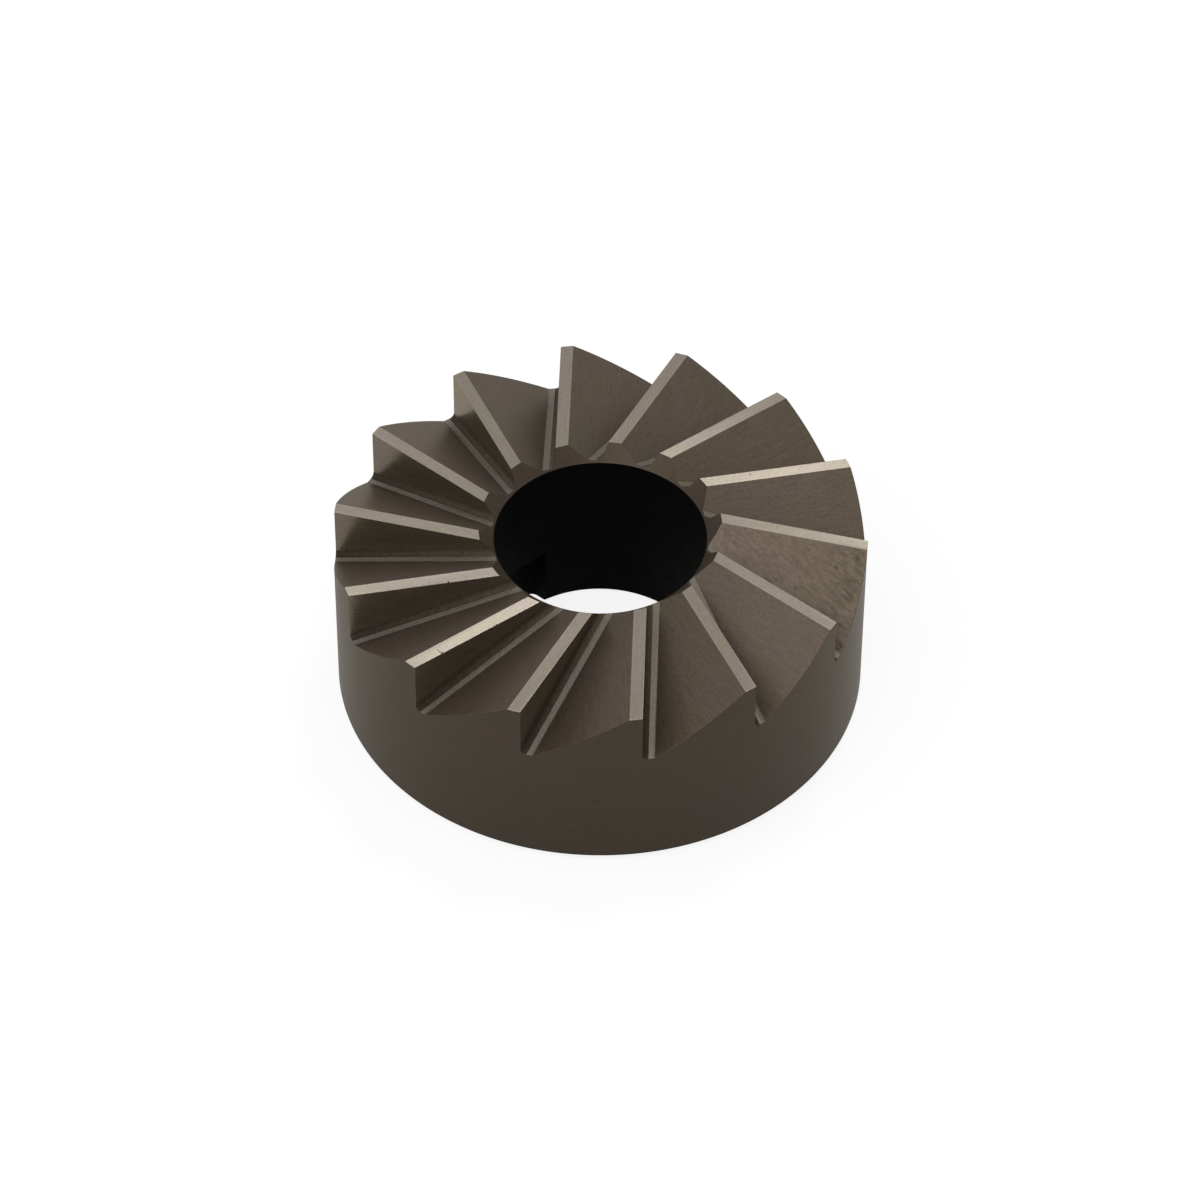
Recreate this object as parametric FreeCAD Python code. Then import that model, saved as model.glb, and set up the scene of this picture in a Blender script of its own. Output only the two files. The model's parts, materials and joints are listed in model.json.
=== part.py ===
"""Facing cutter: a hardened steel ring with straight face teeth, in millimetres.

The origin is the centre of the flat back face. Z runs along the bore towards the teeth,
and X runs along the drive slot and along one of the lands.
Seen from the teeth, the cutter turns anticlockwise, each tooth moving cutting face first.
"""
import FreeCAD, Part
import math
import os

# Turned ring
outer_diameter = 50.0
overall_height = 18.7
bore_diameter = 20.0
back_chamfer = 0.6
bore_back_chamfer = 0.3
bore_cone_width = 1.4

# Teeth. Each cutting edge is a straight line that passes edge_lead ahead of the axis.
tooth_count = 14
edge_lead = 4.6
land_width = 1.2
relief_angle = 31.5
gullet_floor_width = 1.15
gullet_corner_radius = 0.55

# Drive slot in the back, across the bore. It reaches slot_reach into the wall at both ends.
slot_width = 6.4
slot_depth = 6.6
slot_reach = 1.5
slot_corner_radius = 0.8

# How far the cutting solids stand out past the faces that they cut
overcut = 2.0

outer_radius = outer_diameter / 2
bore_radius = bore_diameter / 2
tooth_pitch = 2 * math.pi / tooth_count
relief = math.radians(relief_angle)

ORIGIN = FreeCAD.Vector(0, 0, 0)
Y_AXIS = FreeCAD.Vector(0, 1, 0)
Z_AXIS = FreeCAD.Vector(0, 0, 1)


def turned_ring():
    """The blank: chamfered back corners, a straight bore, and a 45 degree cone at its mouth."""
    section = [
        FreeCAD.Vector(bore_radius + bore_back_chamfer, 0, 0),
        FreeCAD.Vector(outer_radius - back_chamfer, 0, 0),
        FreeCAD.Vector(outer_radius, 0, back_chamfer),
        FreeCAD.Vector(outer_radius, 0, overall_height),
        FreeCAD.Vector(bore_radius + bore_cone_width, 0, overall_height),
        FreeCAD.Vector(bore_radius, 0, overall_height - bore_cone_width),
        FreeCAD.Vector(bore_radius, 0, bore_back_chamfer),
    ]
    outline = Part.makePolygon(section + section[:1])
    return Part.Face(outline).revolve(ORIGIN, Z_AXIS, 360)


def sharp_root(x):
    """The point of the gullet's sharp root, at a distance x along the cutting face.

    The relief face is a plane through the straight back edge of the land behind the gullet,
    so the root falls away outwards at a steady slope.
    """
    run = x * math.sin(tooth_pitch) + edge_lead * (1 - math.cos(tooth_pitch)) - land_width
    return FreeCAD.Vector(x, edge_lead, overall_height - run * math.tan(relief))


def gullet_cutter():
    """The solid that clears the gullet in front of the cutting face of the tooth along X.

    It is a straight prism along the sloping root, from beside the axis out past the rim. Its
    section has one side up the cutting face, a narrow floor square to that face, and one side
    along the relief face. A round of gullet_corner_radius joins the cutting face to the floor.
    """
    root = sharp_root(0)
    end = sharp_root(outer_radius + overcut)
    upwards = (end - root).cross(Y_AXIS).normalize()
    opening = math.acos(math.sin(relief) * math.cos(tooth_pitch))
    side = upwards * math.cos(opening) + Y_AXIS * math.sin(opening)
    corner = root + upwards * (gullet_floor_width / math.tan(opening))
    foot = corner + Y_AXIS * gullet_floor_width
    round_top = corner + upwards * gullet_corner_radius
    round_end = corner + Y_AXIS * gullet_corner_radius
    round_middle = corner + (upwards + Y_AXIS) * gullet_corner_radius * (1 - math.sqrt(0.5))
    reach = outer_diameter
    edges = [
        Part.Arc(round_top, round_middle, round_end).toShape(),
        Part.makeLine(round_end, foot),
        Part.makeLine(foot, root + side * reach),
        Part.makeLine(root + side * reach, root + upwards * reach),
        Part.makeLine(root + upwards * reach, round_top),
    ]
    return Part.Face(Part.Wire(edges)).extrude(end - root)


def gullets():
    """One gullet cutter for each tooth."""
    cutter = gullet_cutter()
    turned = []
    for tooth in range(tooth_count):
        copy = cutter.copy()
        copy.rotate(ORIGIN, Z_AXIS, math.degrees(tooth * tooth_pitch))
        turned.append(copy)
    return turned


def drive_slot():
    """The slot that takes the driver's two lugs, with its upright corners rounded."""
    length = bore_diameter + 2 * slot_reach
    corner = FreeCAD.Vector(-length / 2, -slot_width / 2, -overcut)
    block = Part.makeBox(length, slot_width, slot_depth + overcut, corner)
    upright = [edge for edge in block.Edges if edge.BoundBox.ZLength > slot_depth]
    return block.makeFillet(slot_corner_radius, upright)


def facing_cutter():
    """The whole cutter, as one solid."""
    return turned_ring().cut(gullets() + [drive_slot()])


os.makedirs("parts", exist_ok=True)
cutter = facing_cutter()
cutter.exportStep("parts/facing_cutter.step")
print("solids", len(cutter.Solids), "valid", cutter.isValid(), "volume", round(cutter.Volume, 2))
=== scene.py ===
"""Facing cutter: a hardened steel ring with straight face teeth, finished as it came off the machines.

Lengths are in metres, in the frame of the packed model: Z runs along the bore towards the teeth, and X runs
along the drive slot and along one of the lands. The ring is turned, its gullets and its slot are milled out,
its edges are broken by a hair, and then it gets the marks of its making and use.
"""

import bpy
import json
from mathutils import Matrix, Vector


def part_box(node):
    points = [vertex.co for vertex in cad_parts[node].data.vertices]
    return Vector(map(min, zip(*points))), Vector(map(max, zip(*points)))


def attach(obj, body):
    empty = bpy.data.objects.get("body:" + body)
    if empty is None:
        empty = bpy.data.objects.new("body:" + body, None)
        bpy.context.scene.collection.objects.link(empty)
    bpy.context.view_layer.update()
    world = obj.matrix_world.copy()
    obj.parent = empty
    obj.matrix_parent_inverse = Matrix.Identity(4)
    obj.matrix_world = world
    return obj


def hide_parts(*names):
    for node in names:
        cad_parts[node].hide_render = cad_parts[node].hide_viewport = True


bl_info = {
    "name": "Facing Cutter",
    "version": (1, 0, 0),
    "blender": (4, 5, 0),
    "location": "3D View > Sidebar > Facing Cutter",
    "description": "Builds a steel facing cutter and the studio that it is shown in",
    "category": "Add Mesh",
}

import json
import math

import bmesh
import bpy
from mathutils import Matrix, Vector, noise

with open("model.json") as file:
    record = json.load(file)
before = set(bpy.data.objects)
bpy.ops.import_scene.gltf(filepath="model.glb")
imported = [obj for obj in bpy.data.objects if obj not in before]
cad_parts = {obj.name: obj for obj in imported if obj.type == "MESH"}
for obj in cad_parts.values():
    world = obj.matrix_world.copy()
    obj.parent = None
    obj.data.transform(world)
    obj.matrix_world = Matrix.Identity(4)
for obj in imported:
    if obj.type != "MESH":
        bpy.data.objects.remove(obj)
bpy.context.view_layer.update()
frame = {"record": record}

CAD_NODE = "facing_cutter"
ring_low, ring_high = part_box(CAD_NODE)
bore_mount = next(mount for mount in frame["record"]["mounts"] if mount["name"] == "bore")

MM = 0.001
AXIS = Vector((0, 0, 1))
CENTRE = Vector((0, 0, 0))
FLOOR_RADIUS = 3.0
FLOOR_FACETS = 96
FLOOR_GAP = 0.02 * MM

# Flats that make up the small rounds
CORNER_FACETS = 8
SLOT_FACETS = 6
BREAK_FACETS = 2

# Angles between two faces: up to FLAT they are merged, over CREASE they show a line, over SHARP the edge
# between them is broken
FLAT = math.radians(0.2)
CREASE = math.radians(15)
SHARP = math.radians(50)

# How far a face looks up, as its normal's height: over LEVEL it lies level, and under UPRIGHT it stands or
# looks down
LEVEL = 0.9
UPRIGHT = 0.1
# The most that two such heights differ on one slope
SAME_SLOPE = 0.005

# How far a gullet's face looks ahead of its tooth: over CORNER_LEAN it is the corner, and over FLOOR_LEAN
# the floor
CORNER_LEAN = -0.07
FLOOR_LEAN = -0.3

# Where the gullet mills stop outside the wall, as a share of the diameter
RUN_OUT = 0.55
# The share of the bore's back chamfer under which an edge counts as lying at the back
AT_BACK = 0.9

# The finishes of the ring, by their material slots
TURNED_WALL = 0
GROUND_LAND = 1
MILLED_FLANK = 2
# The bore and the slot are painted near black, as painted shade of their depths
SHADED_BORE = 3
ROUGH_RELIEF = 4
CUTTING_FACE = 5
# The gullets' floors are painted lighter and their corners darker, as painted light and painted shade
GULLET_FLOOR = 6
SHADED_CORNER = 7
ON_THE_TEETH = (GROUND_LAND, MILLED_FLANK, ROUGH_RELIEF, CUTTING_FACE, GULLET_FLOOR, SHADED_CORNER)

# Nicks in the lands, in millimetres: the tooth, the place along it, the two ends across it, the file's width
NICKS = (
    (3, 21.55, 3.95, 4.8, 0.045),
    (3, 21.4, 4.40, 4.8, 0.11),
    (3, 15.3, 4.48, 4.8, 0.09),
    (9, 15.2, 4.15, 4.35, 0.07),
    (2, 15.2, 4.42, 4.8, 0.11),
)

# The worn relief face: the cells to a streak's length and width, how close a corner lies to count as on a
# cut, and the levels of the noise that the marks are read at
CELLS_ALONG = 4
CELLS_ACROSS = 2.5
ON_THE_CUT = 1e-8
LINE_LEVEL = 7.3
BROAD_LEVEL = 2.1
PIT_LEVEL = 4.7
# Its streaks: their mean depth and the shares of fine and broad ones, in streak depths, how much broader the
# broad ones are, and how much deeper all are at the rim
STREAK_MEAN = 0.45
LINE_SHARE = 0.9
BROAD_SHARE = 0.5
BROADER = 3
DEEPER_AT_RIM = 0.8
# Its pits: the noise has to pass PIT_START, which is lower at the rim, and from there they fall steeply
PIT_START = 0.45
SOONER_AT_RIM = 0.08
PIT_STEEPNESS = 3
# The share of the depth beside the face's edges, and the depth that gets the darkest painted shade, in streak
# depths
BESIDE_EDGES = 0.5
DARKEST_DEPTH = 2.5

# Tones of the steel: the tint of its gloss, and the shifts of its mottle in red, green and blue
EDGE_TINT = (0.78, 0.72, 0.64)
OLIVE_SHIFT = (-0.015, 0.01, -0.09)
VIOLET_SHIFT = (0.02, -0.015, 0.12)
# The turn of the gloss from the direction of the marks, as a share of a full turn
ACROSS_MARKS = 0.25
# Steps a metre of the fine speckle and of the slow mottle
SPECKLE_STEPS = 3600
MOTTLE_STEPS = 150
# How strongly the speckle shows beside the marks in colour and in height, and how far the marks change the
# roughness
SPECKLE_TONE = 0.6
SPECKLE_HEIGHT = 0.35
ROUGHNESS_SPREAD = 0.04
# Painted light and painted shade on the rough relief face: how light its raised places are, and how dark its
# sunk ones
RAISED_LIGHT = 1.35
SUNK_SHADE = 0.55

# Axes along which a darkening changes: up the axis, and away from it
UP = (0, 0, 1)
OUTWARDS = (1, 1, 0)

# Numbers of the Mix node's sockets for colours
MIX_FACTOR = 0
MIX_FIRST = 6
MIX_SECOND = 7
MIX_RESULT = 2


def length(name, description, default):
    """A property for a size."""
    return bpy.props.FloatProperty(
        name=name, description=description, default=default, unit="LENGTH", subtype="DISTANCE"
    )


def angle(name, description, default):
    """A property for an angle, given in degrees."""
    return bpy.props.FloatProperty(
        name=name, description=description, default=math.radians(default), unit="ROTATION", subtype="ANGLE"
    )


def colour(name, description, default):
    """A property for a colour, as linear red, green and blue."""
    return bpy.props.FloatVectorProperty(
        name=name, description=description, default=default, size=3, min=0, max=1, subtype="COLOR"
    )


def power(name, description, default):
    """A property for the power of a lamp."""
    return bpy.props.FloatProperty(
        name=name, description=description, default=default, min=0, unit="POWER", subtype="POWER"
    )


def share(name, description, default):
    """A property for a value from 0 to 1."""
    return bpy.props.FloatProperty(
        name=name, description=description, default=default, min=0, max=1, subtype="FACTOR"
    )


class RingSizes(bpy.types.PropertyGroup):
    """The turned ring and the slot across its back."""

    outer_diameter: length("Outer diameter", "Across the outer wall", ring_high.x - ring_low.x)
    height: length("Height", "From the back face to the lands", ring_high.z - ring_low.z)
    bore_diameter: length("Bore", "Across the straight bore", 2 * bore_mount["dims"]["r_mm"] * MM)
    back_chamfer: length("Back chamfer", "Off the outer corner of the back face", 0.6 * MM)
    bore_chamfer: length("Bore chamfer", "Off the bore's corner in the back face", 0.3 * MM)
    bore_cone: length("Bore cone", "Width of the 45 degree cone at the bore's mouth", 1.4 * MM)
    slot_width: length("Slot width", "Across the drive slot", 6.4 * MM)
    slot_depth: length("Slot depth", "From the back face to the slot's floor", 6.6 * MM)
    slot_reach: length("Slot reach", "How far the slot goes into the wall at each end", 1.5 * MM)
    slot_corner: length("Slot corner radius", "Of the slot's upright corners", 0.8 * MM)
    facets: bpy.props.IntProperty(
        name="Facets", description="Flats that make up the round walls", default=336, min=48
    )


class ToothSizes(bpy.types.PropertyGroup):
    """The teeth, which all have the one shape."""

    count: bpy.props.IntProperty(name="Teeth", description="Number of teeth", default=14, min=3)
    edge_lead: length("Edge lead", "How far each cutting edge passes ahead of the axis", 4.6 * MM)
    land_width: length("Land width", "Across the flat land behind the cutting edge", 1.2 * MM)
    relief_angle: angle("Relief angle", "Fall of the relief face behind the land", 31.5)
    gullet_floor: length("Gullet floor", "Width of the gullet's floor, square to the cutting face", 1.15 * MM)
    gullet_corner: length("Gullet corner radius", "Of the round between cutting face and floor", 0.55 * MM)
    edge_break: length("Edge break", "Width of the hair taken off the sharp edges", 0.045 * MM)


class WearSettings(bpy.types.PropertyGroup):
    """The wear on the teeth."""

    tooth: bpy.props.IntProperty(
        name="Worn tooth", default=8,
        description="Tooth with the rough relief face, counted anticlockwise from X",
    )
    streak_angle: angle("Streak angle", "From the cutting edge to the streaks, seen from above", 32)
    streak_length: length("Streak length", "Of the marks on the rough relief face", 1.0 * MM)
    streak_width: length("Streak width", "Across those marks", 0.24 * MM)
    streak_depth: length("Streak depth", "Of those marks", 0.02 * MM)
    pit_spacing: length("Pit spacing", "Between the pits on the rough relief face", 0.5 * MM)
    pit_depth: length("Pit depth", "Of the deepest pits", 0.03 * MM)
    rim_start: length("Rough rim", "Distance along the tooth at which the marks grow deeper", 21.5 * MM)
    rim_width: length("Rim width", "Distance over which they do", 1.5 * MM)


class FinishSettings(bpy.types.PropertyGroup):
    """The colours of the steel."""

    wall: colour("Wall", "Turned steel, brown", (0.0355, 0.0255, 0.0160))
    steel: colour("Flank", "Milled steel, grey-brown", (0.066, 0.051, 0.0365))
    steel_metal: share("Steel metal", "How far the brown steel mirrors as bare metal does", 0.6)
    # Painted light and shade: the gullet floor is lighter than the flank for the light on the floors, and the
    # gullet corner darker for the shade in the corners
    floor: colour("Gullet floor", "Milled steel of the gullets' floors", (0.112, 0.093, 0.075))
    corner: colour("Gullet corner", "Dark steel in the corners of the gullets", (0.042, 0.033, 0.022))
    face: colour("Cutting face", "Fine ground steel of the cutting faces", (0.128, 0.108, 0.078))
    land: colour("Land", "Bright ground steel on the lands", (0.236, 0.208, 0.170))
    # Painted shade: near black, for the deep shade in the bore and the slot
    bore: colour("Bore", "Blackened steel in the bore and the slot", (0.0010, 0.0010, 0.0009))


class StudioSettings(bpy.types.PropertyGroup):
    """The floor, the light and the camera."""

    floor: colour("Floor", "Pale floor", (0.80, 0.80, 0.80))
    floor_glow: share("Floor glow", "Share of the floor's look that is plain white", 0.86)
    fill: share("Fill light", "Strength of the even light from all round", 0.8)
    high_power: power("High lamp", "Of the small lamp high behind the ring", 2.15)
    high_size: length("High lamp size", "Across the square lamp", 0.16)
    high_distance: length("High lamp distance", "From the ring to the lamp", 0.9)
    high_elevation: angle("High lamp elevation", "Height of the lamp as an angle", 65.8)
    high_turn: angle("High lamp turn", "Angle from the camera round to the lamp", 156.1)
    side_power: power("Side lamp", "Of the broad soft lamp beside the camera", 7.0)
    side_size: length("Side lamp size", "Across the square lamp", 1.1)
    side_distance: length("Side lamp distance", "From the ring to the lamp", 1.0)
    side_elevation: angle("Side lamp elevation", "Height of the lamp as an angle", 55)
    side_turn: angle("Side lamp turn", "Angle from the camera round to the lamp", -43)
    camera_distance: length("Camera distance", "From the camera to the point that it looks at", 0.50665)
    camera_elevation: angle("Camera elevation", "Height of the camera as an angle", 45.458)
    camera_turn: angle("Camera turn", "Angle from +X round to the camera", 130.139)
    camera_roll: angle("Camera roll", "Tilt of the picture", 0.3275)
    camera_aim: length("Camera aim", "Height on the axis that the camera looks at", 8.906 * MM)
    camera_lens: bpy.props.FloatProperty(
        name="Lens", description="Focal length on a sensor 36 mm wide, in millimetres", default=160.43
    )


def mesh_from(bm, name):
    """A mesh made from a bmesh, which is then freed."""
    mesh = bpy.data.meshes.new(name)
    bm.to_mesh(mesh)
    bm.free()
    return mesh


def bmesh_of(piece):
    """A bmesh that holds a copy of a piece's mesh."""
    bm = bmesh.new()
    bm.from_mesh(piece.data)
    return bm


def object_from(bm, name):
    """An object at the origin, made from a bmesh."""
    made = bpy.data.objects.new(name, mesh_from(bm, name))
    bpy.context.scene.collection.objects.link(made)
    return made


def turned_blank(ring):
    """The ring as it leaves the lathe, spun from its section."""
    outer = ring.outer_diameter / 2
    bore = ring.bore_diameter / 2
    section = (
        (bore + ring.bore_chamfer, 0),
        (outer - ring.back_chamfer, 0),
        (outer, ring.back_chamfer),
        (outer, ring.height),
        (bore + ring.bore_cone, ring.height),
        (bore, ring.height - ring.bore_cone),
        (bore, ring.bore_chamfer),
    )
    bm = bmesh.new()
    corners = [bm.verts.new((radius, 0, z)) for radius, z in section]
    sides = [bm.edges.new(ends) for ends in zip(corners, corners[1:] + corners[:1])]
    bmesh.ops.spin(
        bm, geom=corners + sides, cent=CENTRE, axis=AXIS, angle=math.tau, steps=ring.facets, use_merge=True
    )
    bmesh.ops.recalc_face_normals(bm, faces=bm.faces)
    for face in bm.faces:
        middle = face.calc_center_median()
        if face.normal.z > LEVEL:
            face.material_index = GROUND_LAND
        elif middle.xy.length < bore + ring.bore_chamfer and face.normal.z < UPRIGHT:
            face.material_index = SHADED_BORE
        else:
            face.material_index = TURNED_WALL
    return bm


def sharp_root(x, ring, teeth):
    """The point of a gullet's sharp root, at a distance x along the cutting face of the tooth along X."""
    pitch = math.tau / teeth.count
    run = x * math.sin(pitch) + teeth.edge_lead * (1 - math.cos(pitch)) - teeth.land_width
    return Vector((x, teeth.edge_lead, ring.height - run * math.tan(teeth.relief_angle)))


def add_gullet_mills(bm, ring, teeth):
    """One prism for each gullet: down the cutting face, round a corner, over a floor, up the relief face."""
    pitch = math.tau / teeth.count
    root = sharp_root(0, ring, teeth)
    end = sharp_root(ring.outer_diameter * RUN_OUT, ring, teeth)
    along = (end - root).normalized()
    ahead = Vector((0, 1, 0))
    upwards = along.cross(ahead)
    opening = math.acos(math.sin(teeth.relief_angle) * math.cos(pitch))

    corner = root + upwards * (teeth.gullet_floor / math.tan(opening))
    centre = corner + (upwards + ahead) * teeth.gullet_corner
    first = bm.verts.new(corner + upwards * teeth.gullet_corner)
    bmesh.ops.spin(
        bm, geom=[first], cent=centre, axis=along, angle=math.radians(90), steps=CORNER_FACETS
    )
    round_corner = list(bm.verts)
    foot = bm.verts.new(corner + ahead * teeth.gullet_floor)
    side = upwards * math.cos(opening) + ahead * math.sin(opening)
    far_side = bm.verts.new(root + side * ring.outer_diameter)
    far_up = bm.verts.new(root + upwards * ring.outer_diameter)
    section = bm.faces.new(round_corner + [foot, far_side, far_up])
    section.material_index = MILLED_FLANK
    grown = bmesh.ops.extrude_face_region(bm, geom=[section])
    moved = [item for item in grown["geom"] if isinstance(item, bmesh.types.BMVert)]
    bmesh.ops.translate(bm, verts=moved, vec=end - root)
    others = teeth.count - 1
    everything = bm.verts[:] + bm.edges[:] + bm.faces[:]
    bmesh.ops.spin(
        bm, geom=everything, cent=CENTRE, axis=AXIS, angle=others * pitch, steps=others, use_duplicate=True
    )


def add_slot_mill(bm, ring):
    """The block that clears the drive slot, with its upright corners rounded."""
    size = Vector((ring.bore_diameter + 2 * ring.slot_reach, ring.slot_width, 2 * ring.slot_depth))
    block = bmesh.ops.create_cube(bm, size=1, matrix=Matrix.Diagonal(size).to_4x4())["verts"]
    upright = {
        edge for vert in block for edge in vert.link_edges
        if abs(edge.verts[0].co.z - edge.verts[1].co.z) > ring.slot_depth
    }
    faces = {face for vert in block for face in vert.link_faces}
    # The slot's walls take the bore's painted shade
    for face in faces:
        face.material_index = SHADED_BORE
    bmesh.ops.bevel(
        bm, geom=list(upright), offset=ring.slot_corner, affect="EDGES", segments=SLOT_FACETS, profile=0.5,
        material=-1,
    )


def add_nicks(bm, ring, teeth):
    """A square file on its edge for each nick in the lands."""
    on_edge = Matrix.Rotation(math.radians(45), 4, "Y")
    for number, place, near, far, width in NICKS:
        across = (near + far) / 2
        tooth = Matrix.Rotation(number * math.tau / teeth.count, 4, "Z")
        file_place = tooth @ Matrix.Translation((place * MM, across * MM, ring.height))
        size = Matrix.Diagonal((width * MM, (far - near) * MM, width * MM, 1))
        bmesh.ops.create_cube(bm, size=1, matrix=file_place @ on_edge @ size)
    for face in bm.faces:
        face.material_index = MILLED_FLANK


def cut_away(piece, cutters):
    """Takes the cutters' shape out of the piece."""
    milling = piece.modifiers.new("Milling", "BOOLEAN")
    milling.object = cutters
    milling.operation = "DIFFERENCE"
    milling.solver = "EXACT"
    milling.use_self = True
    graph = bpy.context.evaluated_depsgraph_get()
    milled = bpy.data.meshes.new_from_object(piece.evaluated_get(graph))
    piece.modifiers.remove(milling)
    piece.data = milled
    bpy.data.objects.remove(cutters)


def merge_flats(bm):
    """Joins the slices of each flat face, and drops the points along straight edges."""
    bmesh.ops.dissolve_limit(
        bm, angle_limit=FLAT, use_dissolve_boundaries=False, verts=bm.verts, edges=bm.edges,
        delimit={"MATERIAL"},
    )


def tooth_number(face, teeth):
    """The tooth that a face belongs to, counted anticlockwise from the one along X."""
    inside = face.calc_center_median() - face.normal * teeth.land_width / 10
    lead = math.asin(min(1, teeth.edge_lead / inside.xy.length))
    pitch = math.tau / teeth.count
    return (math.floor((math.atan2(inside.y, inside.x) - lead) / pitch) + 1) % teeth.count


def tooth_axes(number, teeth):
    """The directions along a tooth's cutting edge and square to its cutting face."""
    turn = number * math.tau / teeth.count
    along = Vector((math.cos(turn), math.sin(turn), 0))
    return along, AXIS.cross(along)


def finish_gullets(bm, teeth):
    """Tells the cutting faces, the gullets' floors, which are painted light, and their corners, which are
    painted shade, from the relief faces.
    """
    for face in bm.faces:
        if face.material_index == MILLED_FLANK:
            along, ahead = tooth_axes(tooth_number(face, teeth), teeth)
            lean = face.normal.dot(ahead)
            if abs(face.normal.z) < UPRIGHT:
                face.material_index = CUTTING_FACE
            elif lean > CORNER_LEAN:
                face.material_index = SHADED_CORNER
            elif lean > FLOOR_LEAN:
                face.material_index = GULLET_FLOOR


def stays_crisp(edge, ring):
    """Whether a milled face runs out in the bore's cone here, or a face of the bore or slot, which are
    painted in shade, in the back chamfers.
    """
    finishes = {face.material_index for face in edge.link_faces}
    middle = (edge.verts[0].co + edge.verts[1].co) / 2
    in_cone = middle.xy.length < ring.bore_diameter / 2 + ring.bore_cone
    at_back = min(vert.co.z for vert in edge.verts) < ring.bore_chamfer * AT_BACK
    if at_back:
        return SHADED_BORE in finishes
    return in_cone and TURNED_WALL in finishes and GROUND_LAND not in finishes


def break_edges(bm, ring, width):
    """Takes a hair off the sharp edges, and keeps the crisp look of the blunter creases."""
    sharp = []
    for edge in bm.edges:
        bend = edge.calc_face_angle()
        crisp = stays_crisp(edge, ring)
        edge.smooth = not (bend > CREASE and (crisp or bend < SHARP))
        if bend > SHARP and not crisp:
            sharp.append(edge)
    bmesh.ops.bevel(
        bm, geom=sharp, offset=width, offset_type="OFFSET", affect="EDGES", segments=BREAK_FACETS,
        profile=0.5, material=-1, clamp_overlap=False, loop_slide=True,
    )


def sharpen_lands(bm):
    """Keeps the shading of the lands flat, up to the nicks too."""
    for edge in bm.edges:
        lands = sum(face.material_index == GROUND_LAND for face in edge.link_faces)
        if lands == 1 and edge.calc_face_angle() > CREASE:
            edge.smooth = False


def slice_up(bm, kept, direction, step):
    """Cuts the faces of one finish into slices of one width, square to a direction."""
    worked = [face for face in bm.faces if face.material_index == kept]
    reach = [vert.co.dot(direction) for face in worked for vert in face.verts]
    level = min(reach) + step
    while level < max(reach):
        faces = [face for face in bm.faces if face.material_index == kept]
        edges = {edge for face in faces for edge in face.edges}
        verts = {vert for face in faces for vert in face.verts}
        bmesh.ops.bisect_plane(
            bm, geom=faces + list(edges) + list(verts), dist=ON_THE_CUT, plane_co=direction * level,
            plane_no=direction,
        )
        level += step


def wear_depth(place, wear):
    """How far the worn relief face is sunk at a place along the streaks, across them and along the tooth."""
    streak, cross, along = place
    rim = min(1, max(0, (along - wear.rim_start) / wear.rim_width))
    streak_step = streak / wear.streak_length
    cross_step = cross / wear.streak_width
    lines = noise.noise(Vector((streak_step, cross_step, LINE_LEVEL)))
    broad = noise.noise(Vector((streak_step, cross_step / BROADER, BROAD_LEVEL)))
    pits = noise.noise(Vector((streak / wear.pit_spacing, cross / wear.pit_spacing, PIT_LEVEL)))
    drawn = max(0, STREAK_MEAN + LINE_SHARE * lines + BROAD_SHARE * broad)
    streaks = drawn * wear.streak_depth * (1 + DEEPER_AT_RIM * rim)
    return streaks + max(0, pits - PIT_START + SOONER_AT_RIM * rim) * PIT_STEEPNESS * wear.pit_depth


def wear_relief(bm, wear, teeth):
    """Cuts one relief face into fine cells along its streaks and sinks their corners."""
    slope = math.cos(teeth.relief_angle)
    for face in bm.faces:
        flat = face.material_index == MILLED_FLANK and abs(face.normal.z - slope) < SAME_SLOPE
        if flat and tooth_number(face, teeth) == wear.tooth:
            face.material_index = ROUGH_RELIEF
            normal = face.normal.copy()
    along, ahead = tooth_axes(wear.tooth, teeth)
    lying = along * math.cos(wear.streak_angle) - ahead * math.sin(wear.streak_angle)
    streak = (lying - normal * lying.dot(normal)).normalized()
    cross = normal.cross(streak)
    slice_up(bm, ROUGH_RELIEF, streak, wear.streak_length / CELLS_ALONG)
    slice_up(bm, ROUGH_RELIEF, cross, wear.streak_width / CELLS_ACROSS)

    sunk = bm.verts.layers.float.new("sunk")
    rough = {vert for face in bm.faces if face.material_index == ROUGH_RELIEF for vert in face.verts}
    rim = {vert for vert in rough if any(face.material_index != ROUGH_RELIEF for face in vert.link_faces)}
    beside = {edge.other_vert(vert) for vert in rim for edge in vert.link_edges} & rough
    for vert in rough - rim:
        place = (vert.co.dot(streak), vert.co.dot(cross), vert.co.dot(along))
        depth = wear_depth(place, wear) * (BESIDE_EDGES if vert in beside else 1)
        # How deep the corner lies, which sets the painted shade
        vert[sunk] = min(1, depth / (wear.streak_depth * DARKEST_DEPTH))
        vert.co -= normal * depth


def lay_grain(bm, ring, teeth):
    """Gives the faces a map in metres: along each tooth on the teeth, and round the axis elsewhere."""
    grain = bm.loops.layers.uv.new("grain")
    for face in bm.faces:
        if face.material_index in ON_THE_TEETH:
            along, ahead = tooth_axes(tooth_number(face, teeth), teeth)
            for loop in face.loops:
                point = loop.vert.co
                loop[grain].uv = (point.dot(along), point.dot(ahead) + point.z)
        else:
            middle = face.calc_center_median()
            start = math.atan2(middle.y, middle.x)
            for loop in face.loops:
                point = loop.vert.co
                turn = start + math.remainder(math.atan2(point.y, point.x) - start, math.tau)
                loop[grain].uv = (turn * ring.outer_diameter / 2, point.z + point.xy.length)


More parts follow.
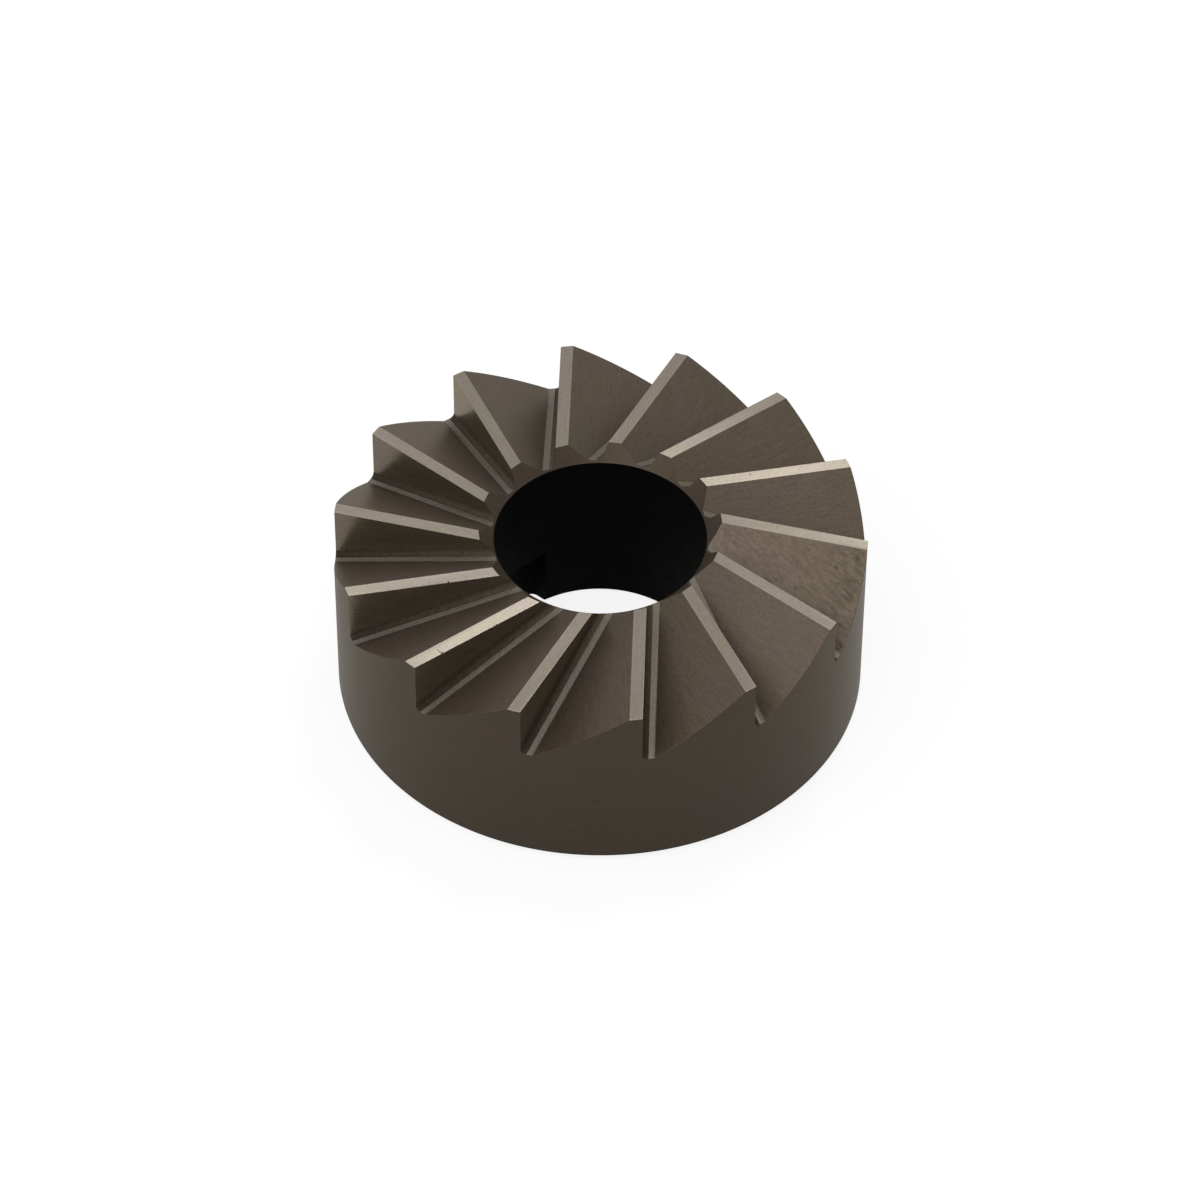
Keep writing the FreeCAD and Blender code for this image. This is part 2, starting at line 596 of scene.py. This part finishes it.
class Bench:
    """A material's node tree, with short ways to add nodes to it."""

    def __init__(self, name):
        self.material = bpy.data.materials.new(name)
        self.material.use_nodes = True
        self.tree = self.material.node_tree
        self.tree.nodes.clear()

    def plug(self, made, socket, value):
        """Links another node's output to a node's socket, or sets the socket to a plain value."""
        if isinstance(value, bpy.types.NodeSocket):
            self.tree.links.new(value, made.inputs[socket])
        else:
            made.inputs[socket].default_value = value

    def node(self, kind, sockets=None, **settings):
        """Adds a node with its settings and its sockets."""
        made = self.tree.nodes.new(kind)
        for name, value in settings.items():
            setattr(made, name, value)
        for socket, value in (sockets or {}).items():
            self.plug(made, socket, value)
        return made

    def grain(self, along, across):
        """The grain map, scaled by so many steps a metre along and across the marks."""
        laid = self.node("ShaderNodeUVMap", uv_map="grain").outputs["UV"]
        scaled = self.node("ShaderNodeMapping", {"Vector": laid, "Scale": (along, across, 1)})
        return scaled.outputs["Vector"]

    def place(self, scale):
        """The place on the piece, scaled by so many steps a metre."""
        where = self.node("ShaderNodeTexCoord").outputs["Object"]
        return self.node("ShaderNodeMapping", {"Vector": where, "Scale": (scale,) * 3}).outputs["Vector"]

    def reach(self, axes):
        """How far the place is from the origin along the given axes."""
        where = self.node("ShaderNodeTexCoord").outputs["Object"]
        kept = self.node("ShaderNodeVectorMath", {0: where, 1: axes}, operation="MULTIPLY")
        far = self.node("ShaderNodeVectorMath", {0: kept.outputs["Vector"]}, operation="LENGTH")
        return far.outputs["Value"]

    def cloud(self, where, detail=2.0, roughness=0.5, distortion=0.0):
        """Soft noise from 0 to 1."""
        sockets = {
            "Vector": where, "Scale": 1.0, "Detail": detail, "Roughness": roughness, "Distortion": distortion
        }
        return self.node("ShaderNodeTexNoise", sockets).outputs["Fac"]

    def span(self, value, low, high, out_low, out_high):
        """The value stretched from one range to another, and held there."""
        sockets = {"Value": value, "From Min": low, "From Max": high, "To Min": out_low, "To Max": out_high}
        return self.node("ShaderNodeMapRange", sockets, clamp=True).outputs["Result"]

    def sum(self, first, second):
        """Two values added."""
        return self.node("ShaderNodeMath", {0: first, 1: second}, operation="ADD").outputs[0]

    def product(self, first, second):
        """Two values multiplied."""
        return self.node("ShaderNodeMath", {0: first, 1: second}, operation="MULTIPLY").outputs[0]

    def scaled(self, tint, factor):
        """A colour with its brightness multiplied by a value."""
        painted = self.node("ShaderNodeVectorMath", {0: tint}, operation="SCALE")
        self.plug(painted, "Scale", factor)
        return painted.outputs["Vector"]

    def blend(self, factor, first, second):
        """One colour turned into another by the factor."""
        sockets = {MIX_FACTOR: factor, MIX_FIRST: first, MIX_SECOND: second}
        mixed = self.node("ShaderNodeMix", data_type="RGBA", blend_type="MIX")
        for socket, value in sockets.items():
            self.plug(mixed, socket, value)
        return mixed.outputs[MIX_RESULT]

    def bump(self, height, depth):
        """A normal shaped by a height, which counts in steps of the depth."""
        sockets = {"Height": height, "Strength": 1.0, "Distance": depth}
        return self.node("ShaderNodeBump", sockets).outputs["Normal"]

    def finish(self, shader):
        """Ends the tree and gives the material."""
        self.node("ShaderNodeOutputMaterial", {"Surface": shader})
        return self.material


def shade(tint, factor=1):
    """A colour with its brightness changed, as red, green, blue and alpha."""
    return (*(min(1, part * factor) for part in tint), 1)


def tempered(tint, shift, strength):
    """A colour moved by a shift in red, green and blue, as red, green, blue and alpha."""
    return shade([part * (1 + move * strength) for part, move in zip(tint, shift)])


def steel_material(
    name, tint, metal, marks, roughness, anisotropy, depth, contrast,
    temper=0.6, sunk=False, gloss=0.5, darkening=None,
):
    """Tool steel: machining marks of so many steps a metre, over a slow mottle of olive and violet grey.

    The marks and the speckle change the colour by the contrast and have the depth, and sunk also paints shade
    into the sunk places and light onto the raised ones. The darkening is a darker stretch: the axes along
    which it changes, the distance at which it is darkest, the one at which it has gone, and how dark it is.
    """
    bench = Bench(name)
    lines = bench.cloud(bench.grain(*marks), detail=3.0, roughness=0.6)
    speckle = bench.cloud(bench.place(SPECKLE_STEPS), detail=2.0)
    mottle = bench.cloud(bench.place(MOTTLE_STEPS), detail=3.0, roughness=0.55, distortion=0.4)
    olive = tempered(tint, OLIVE_SHIFT, temper)
    violet = tempered(tint, VIOLET_SHIFT, temper)
    ground = bench.blend(bench.span(mottle, 0.4, 0.6, 0, 1), olive, violet)

    tone = bench.sum(
        bench.span(lines, 0.25, 0.75, 1 - contrast, 1 + contrast),
        bench.span(speckle, 0.3, 0.7, -contrast * SPECKLE_TONE, contrast * SPECKLE_TONE),
    )
    if sunk:
        # Painted shade in the sunk places and painted light on the raised ones
        depths = bench.node("ShaderNodeAttribute", attribute_name="sunk").outputs["Fac"]
        tone = bench.product(tone, bench.span(depths, 0, 1, RAISED_LIGHT, SUNK_SHADE))
    # The colour made darker over a stretch along the axes
    if darkening:
        axes, darkest_at, gone_at, darkest = darkening
        tone = bench.product(tone, bench.span(bench.reach(axes), darkest_at, gone_at, darkest, 1))

    height = bench.sum(lines, bench.product(speckle, SPECKLE_HEIGHT))
    tangent = bench.node("ShaderNodeTangent", direction_type="UV_MAP", uv_map="grain")
    smoothest = roughness - ROUGHNESS_SPREAD
    roughest = roughness + ROUGHNESS_SPREAD
    shader = bench.node("ShaderNodeBsdfPrincipled", {
        "Base Color": bench.scaled(ground, tone),
        "Metallic": metal,
        "Roughness": bench.span(lines, 0.2, 0.8, smoothest, roughest),
        "Specular IOR Level": gloss,
        "Specular Tint": shade(EDGE_TINT),
        "Anisotropic": anisotropy,
        "Anisotropic Rotation": ACROSS_MARKS,
        "Tangent": tangent.outputs["Tangent"],
        "Normal": bench.bump(height, depth),
    })
    return bench.finish(shader.outputs["BSDF"])


def turned_wall(finish):
    """Turned brown steel, a little glossy, and darker towards the back as painted shade of the floor that the
    low wall mirrors.
    """
    return steel_material(
        "turned_wall", finish.wall, finish.steel_metal, marks=(60, 5000), roughness=0.46, anisotropy=0.3,
        # Painted shade: darker towards the back, where the wall mirrors the floor
        depth=0.003 * MM, contrast=0.18, gloss=0.62, darkening=(UP, 0, 14 * MM, 0.74),
    )


def ground_land(finish):
    """Bright ground steel, with long fine lines."""
    return steel_material(
        "ground_land", finish.land, metal=1.0, marks=(150, 7000), roughness=0.38, anisotropy=0.85,
        depth=0.001 * MM, contrast=0.12, temper=0.3,
    )


def milled_flank(finish):
    """Milled grey-brown steel, darker towards the bore."""
    return steel_material(
        "milled_flank", finish.steel, finish.steel_metal, marks=(400, 5000), roughness=0.46, anisotropy=0.2,
        depth=0.003 * MM, contrast=0.2, darkening=(OUTWARDS, 10 * MM, 19 * MM, 0.82),
    )


def shaded_bore(finish):
    """Dull dark steel painted near black, as painted shade of the deep bore and slot, and a little uneven."""
    bench = Bench("shaded_bore")
    patches = bench.cloud(bench.place(420), detail=4.0, roughness=0.6)
    lines = bench.cloud(bench.grain(90, 5200), detail=2.0)
    darker = shade(finish.bore, 0.7)
    lighter = shade(finish.bore, 1.6)
    shader = bench.node("ShaderNodeBsdfPrincipled", {
        "Base Color": bench.blend(bench.span(patches, 0.3, 0.7, 0, 1), darker, lighter),
        "Metallic": 0.0,
        "Roughness": bench.span(patches, 0.3, 0.7, 0.6, 0.75),
        "Specular IOR Level": 0.025,
        "Normal": bench.bump(bench.sum(patches, lines), 0.006 * MM),
    })
    return bench.finish(shader.outputs["BSDF"])


def rough_relief(finish):
    """The steel of the flanks, torn and dull, with painted shade where it is sunk and painted light where it
    is raised.
    """
    return steel_material(
        "rough_relief", finish.steel, finish.steel_metal, marks=(2500, 2500), roughness=0.5, anisotropy=0.0,
        depth=0.003 * MM, contrast=0.2, sunk=True,
    )


def cutting_face(finish):
    """Fine ground steel, smoother than the flanks."""
    return steel_material(
        "cutting_face", finish.face, metal=0.8, marks=(400, 5000), roughness=0.30, anisotropy=0.2,
        depth=0.002 * MM, contrast=0.15,
    )


def gullet_floor(finish):
    """Milled steel, painted lighter than the flanks as painted light on the floors, and darker towards the
    bore.
    """
    return steel_material(
        "gullet_floor", finish.floor, metal=0.3, marks=(400, 5000), roughness=0.5, anisotropy=0.2,
        depth=0.003 * MM, contrast=0.2, darkening=(OUTWARDS, 10 * MM, 19 * MM, 0.68),
    )


def shaded_corner(finish):
    """Painted shade in the gullets' corners: dull dark steel, darker towards the wall."""
    return steel_material(
        "shaded_corner", finish.corner, metal=0.0, marks=(400, 5000), roughness=0.6, anisotropy=0.0,
        depth=0.003 * MM, contrast=0.3, gloss=0.12, darkening=(OUTWARDS, 25 * MM, 12 * MM, 0.5),
    )


# The makers of the finishes, in the order of their material slots
FINISHES = (
    turned_wall, ground_land, milled_flank, shaded_bore, rough_relief, cutting_face, gullet_floor,
    shaded_corner,
)


class FACING_OT_build_ring(bpy.types.Operator):
    """Model the toothed ring and give it its finishes"""

    bl_idname = "facing.build_ring"
    bl_label = "Build the toothed ring"

    def execute(self, context):
        ring = context.scene.facing_ring
        teeth = context.scene.facing_teeth

        piece = object_from(turned_blank(ring), "toothed_ring")
        mills = bmesh.new()
        add_gullet_mills(mills, ring, teeth)
        add_slot_mill(mills, ring)
        bmesh.ops.recalc_face_normals(mills, faces=mills.faces)
        cut_away(piece, object_from(mills, "mills"))

        bm = bmesh_of(piece)
        merge_flats(bm)
        finish_gullets(bm, teeth)
        break_edges(bm, ring, teeth.edge_break)
        piece.data = mesh_from(bm, "edges_broken")

        files = bmesh.new()
        add_nicks(files, ring, teeth)
        cut_away(piece, object_from(files, "files"))

        bm = bmesh_of(piece)
        sharpen_lands(bm)
        wear_relief(bm, context.scene.facing_wear, teeth)
        for face in bm.faces:
            face.smooth = True
        lay_grain(bm, ring, teeth)
        piece.data = mesh_from(bm, "toothed_ring")

        for make in FINISHES:
            piece.data.materials.append(make(context.scene.facing_finish))
        weighted = piece.modifiers.new("Even shading", "WEIGHTED_NORMAL")
        weighted.keep_sharp = True
        weighted.weight = 100

        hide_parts(CAD_NODE)
        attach(piece, "root")
        return {"FINISHED"}


def seen_directly(tree):
    """A value that is 1 for what the camera sees, directly or in metal or glass, and 0 for soft light."""
    path = tree.nodes.new("ShaderNodeLightPath")
    total = path.outputs["Is Camera Ray"]
    for name in ("Is Glossy Ray", "Is Transmission Ray"):
        either = tree.nodes.new("ShaderNodeMath")
        either.operation = "MAXIMUM"
        tree.links.new(total, either.inputs[0])
        tree.links.new(path.outputs[name], either.inputs[1])
        total = either.outputs[0]
    return total


def floor_material(studio):
    """A pale floor that looks white, and keeps a faint shadow."""
    bench = Bench("pale_floor")
    matt = bench.node("ShaderNodeBsdfDiffuse", {"Color": shade(studio.floor)})
    white = bench.node("ShaderNodeEmission", {"Color": (1, 1, 1, 1), "Strength": 1.0})
    glow = bench.product(seen_directly(bench.tree), studio.floor_glow)
    mixed = bench.node("ShaderNodeMixShader", {0: glow, 1: matt.outputs[0], 2: white.outputs[0]})
    return bench.finish(mixed.outputs[0])


def light_world(studio):
    """A white surround, which lights the ring evenly."""
    world = bpy.data.worlds.new("white_surround")
    world.use_nodes = True
    tree = world.node_tree
    tree.nodes.clear()
    background = tree.nodes.new("ShaderNodeBackground")
    background.inputs["Color"].default_value = (1, 1, 1, 1)
    strength = tree.nodes.new("ShaderNodeMapRange")
    strength.inputs["To Min"].default_value = studio.fill
    strength.inputs["To Max"].default_value = 1.0
    tree.links.new(seen_directly(tree), strength.inputs["Value"])
    tree.links.new(strength.outputs["Result"], background.inputs["Strength"])
    output = tree.nodes.new("ShaderNodeOutputWorld")
    tree.links.new(background.outputs["Background"], output.inputs["Surface"])
    bpy.context.scene.world = world


def lay_floor(studio):
    """A round floor, a hair under the ring."""
    bm = bmesh.new()
    bmesh.ops.create_circle(bm, cap_ends=True, radius=FLOOR_RADIUS, segments=FLOOR_FACETS)
    bmesh.ops.translate(bm, verts=bm.verts, vec=(0, 0, -FLOOR_GAP))
    floor = object_from(bm, "floor")
    floor.data.materials.append(floor_material(studio))


def standing(distance, elevation, turn):
    """The step from a target to a place at a distance and an elevation, turned from +X."""
    level = distance * math.cos(elevation)
    return Vector((level * math.cos(turn), level * math.sin(turn), distance * math.sin(elevation)))


def facing(place, target, roll=0.0):
    """The matrix of a lamp or a camera at a place, looking at a target."""
    look = (target - place).to_track_quat("-Z", "Y").to_matrix().to_4x4()
    return Matrix.Translation(place) @ look @ Matrix.Rotation(roll, 4, "Z")


def hang_lamp(name, watts, size, place, target):
    """A square lamp at a place, facing a target."""
    lamp = bpy.data.lights.new(name, "AREA")
    lamp.shape = "SQUARE"
    lamp.size = size
    lamp.energy = watts
    hung = bpy.data.objects.new(name, lamp)
    hung.matrix_world = facing(place, target)
    bpy.context.scene.collection.objects.link(hung)


def set_camera(studio, aim):
    """The camera, looking at a point on the axis."""
    camera = bpy.data.cameras.new("camera")
    camera.lens = studio.camera_lens
    camera.sensor_width = 36
    camera.clip_start = 0.01
    stand = bpy.data.objects.new("camera", camera)
    place = aim + standing(studio.camera_distance, studio.camera_elevation, studio.camera_turn)
    stand.matrix_world = facing(place, aim, studio.camera_roll)
    bpy.context.scene.collection.objects.link(stand)
    bpy.context.scene.camera = stand


class FACING_OT_build_studio(bpy.types.Operator):
    """Lay the floor, light the ring and set the camera"""

    bl_idname = "facing.build_studio"
    bl_label = "Build the studio"

    def execute(self, context):
        studio = context.scene.facing_studio
        lay_floor(studio)
        light_world(studio)
        aim = Vector((0, 0, studio.camera_aim))
        high = standing(studio.high_distance, studio.high_elevation, studio.camera_turn + studio.high_turn)
        hang_lamp("high_lamp", studio.high_power, studio.high_size, aim + high, aim)
        side = standing(studio.side_distance, studio.side_elevation, studio.camera_turn + studio.side_turn)
        hang_lamp("side_lamp", studio.side_power, studio.side_size, aim + side, aim)
        set_camera(studio, aim)
        context.scene.view_settings.view_transform = "Standard"
        return {"FINISHED"}


class FACING_PT_panel(bpy.types.Panel):
    """The sidebar's page for the cutter."""

    bl_idname = "FACING_PT_panel"
    bl_label = "Facing Cutter"
    bl_space_type = "VIEW_3D"
    bl_region_type = "UI"
    bl_category = "Facing Cutter"

    def draw(self, context):
        for name, group in SETTINGS.items():
            box = self.layout.box()
            box.label(text=group.__doc__)
            for item in group.__annotations__:
                box.prop(getattr(context.scene, name), item)
        for operator in OPERATORS:
            self.layout.operator(operator.bl_idname)


SETTINGS = {
    "facing_ring": RingSizes,
    "facing_teeth": ToothSizes,
    "facing_wear": WearSettings,
    "facing_finish": FinishSettings,
    "facing_studio": StudioSettings,
}
OPERATORS = (FACING_OT_build_studio, FACING_OT_build_ring)


def register():
    """Registers the settings, the operators and the panel."""
    for kind in (*SETTINGS.values(), *OPERATORS, FACING_PT_panel):
        bpy.utils.register_class(kind)
    for name, group in SETTINGS.items():
        setattr(bpy.types.Scene, name, bpy.props.PointerProperty(type=group))


def unregister():
    """Takes them all out again."""
    for name in SETTINGS:
        delattr(bpy.types.Scene, name)
    for kind in reversed((*SETTINGS.values(), *OPERATORS, FACING_PT_panel)):
        bpy.utils.unregister_class(kind)


def main():
    register()
    bpy.ops.facing.build_studio()
    bpy.ops.facing.build_ring()


if __name__ == "__main__":
    main()
